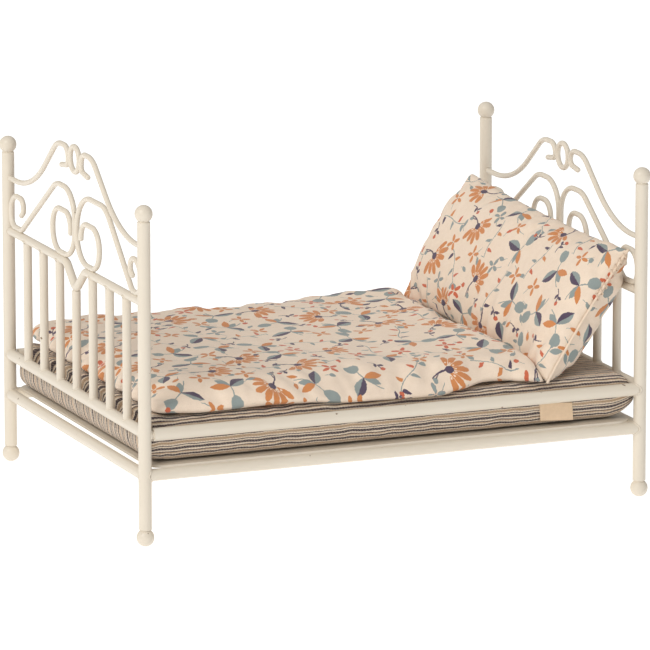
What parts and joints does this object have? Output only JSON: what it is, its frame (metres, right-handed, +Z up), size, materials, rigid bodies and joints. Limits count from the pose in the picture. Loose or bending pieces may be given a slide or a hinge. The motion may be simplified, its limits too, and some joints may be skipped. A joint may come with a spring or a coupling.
{
  "type": "miniature metal bedstead with bedding",
  "caption": "Miniature four-post bedstead of welded cream rods with scrollwork ends, ball finials and a sheet panel, carrying a loose striped mattress, floral duvet and pillow.",
  "frame": {"origin": "centre of the bed's footprint, on the floor", "axes": "+X from the foot end to the head end, +Y to the sleeper's right, +Z up"},
  "size_m": [0.2302, 0.1684, 0.1532],
  "materials": {
    "rod_paint": "warm ivory stove-enamelled paint, satin gloss",
    "panel_paint": "warm ivory stove-enamelled paint, satin gloss",
    "ticking": "woven striped ticking in navy, ochre and off-white yarns",
    "label_tape": "plain ecru woven tape, blank",
    "duvet_print": "printed cotton, flowers and leaves on warm cream",
    "pillow_print": "printed cotton, flowers and leaves on warm cream"
  },
  "bodies": {
    "bedstead": {"footboard_left_post": "rod_paint", "footboard_left_finial": "rod_paint", "footboard_left_ball_foot": "rod_paint", "footboard_right_post": "rod_paint", "footboard_right_finial": "rod_paint", "footboard_right_ball_foot": "rod_paint", "headboard_left_post": "rod_paint", "headboard_left_finial": "rod_paint", "headboard_left_ball_foot": "rod_paint", "headboard_right_post": "rod_paint", "headboard_right_finial": "rod_paint", "headboard_right_ball_foot": "rod_paint", "left_upper_side_rail": "rod_paint", "left_lower_side_rail": "rod_paint", "right_upper_side_rail": "rod_paint", "right_lower_side_rail": "rod_paint", "footboard_top_rail": "rod_paint", "footboard_middle_rail": "rod_paint", "footboard_bottom_rail": "rod_paint", "footboard_spindle_1": "rod_paint", "footboard_spindle_2": "rod_paint", "footboard_spindle_3": "rod_paint", "footboard_spindle_4": "rod_paint", "footboard_spindle_5": "rod_paint", "footboard_spindle_6": "rod_paint", "footboard_spindle_7": "rod_paint", "footboard_left_lower_scroll": "rod_paint", "footboard_left_upper_scroll": "rod_paint", "footboard_right_lower_scroll": "rod_paint", "footboard_right_upper_scroll": "rod_paint", "footboard_ring": "rod_paint", "headboard_top_rail": "rod_paint", "headboard_middle_rail": "rod_paint", "headboard_bottom_rail": "rod_paint", "headboard_spindle_1": "rod_paint", "headboard_spindle_2": "rod_paint", "headboard_spindle_3": "rod_paint", "headboard_spindle_4": "rod_paint", "headboard_spindle_5": "rod_paint", "headboard_spindle_6": "rod_paint", "headboard_spindle_7": "rod_paint", "headboard_left_lower_scroll": "rod_paint", "headboard_left_upper_scroll": "rod_paint", "headboard_right_lower_scroll": "rod_paint", "headboard_right_upper_scroll": "rod_paint", "headboard_ring": "rod_paint", "mattress_panel": "panel_paint"},
    "mattress": {"mattress": "ticking", "mattress_label": "label_tape"},
    "duvet": {"duvet": "duvet_print"},
    "pillow": {"pillow": "pillow_print"}
  },
  "joints": [
    {"name": "mattress_lift", "type": "slide", "parent": "bedstead", "child": "mattress", "axis": [0, 0, 1], "range_m": [0, 0.13]},
    {"name": "duvet_lift", "type": "slide", "parent": "mattress", "child": "duvet", "axis": [0, 0, 1], "range_m": [0, 0.11]},
    {"name": "pillow_lift", "type": "slide", "parent": "duvet", "child": "pillow", "axis": [0, 0, 1], "range_m": [0, 0.11]}
  ]
}
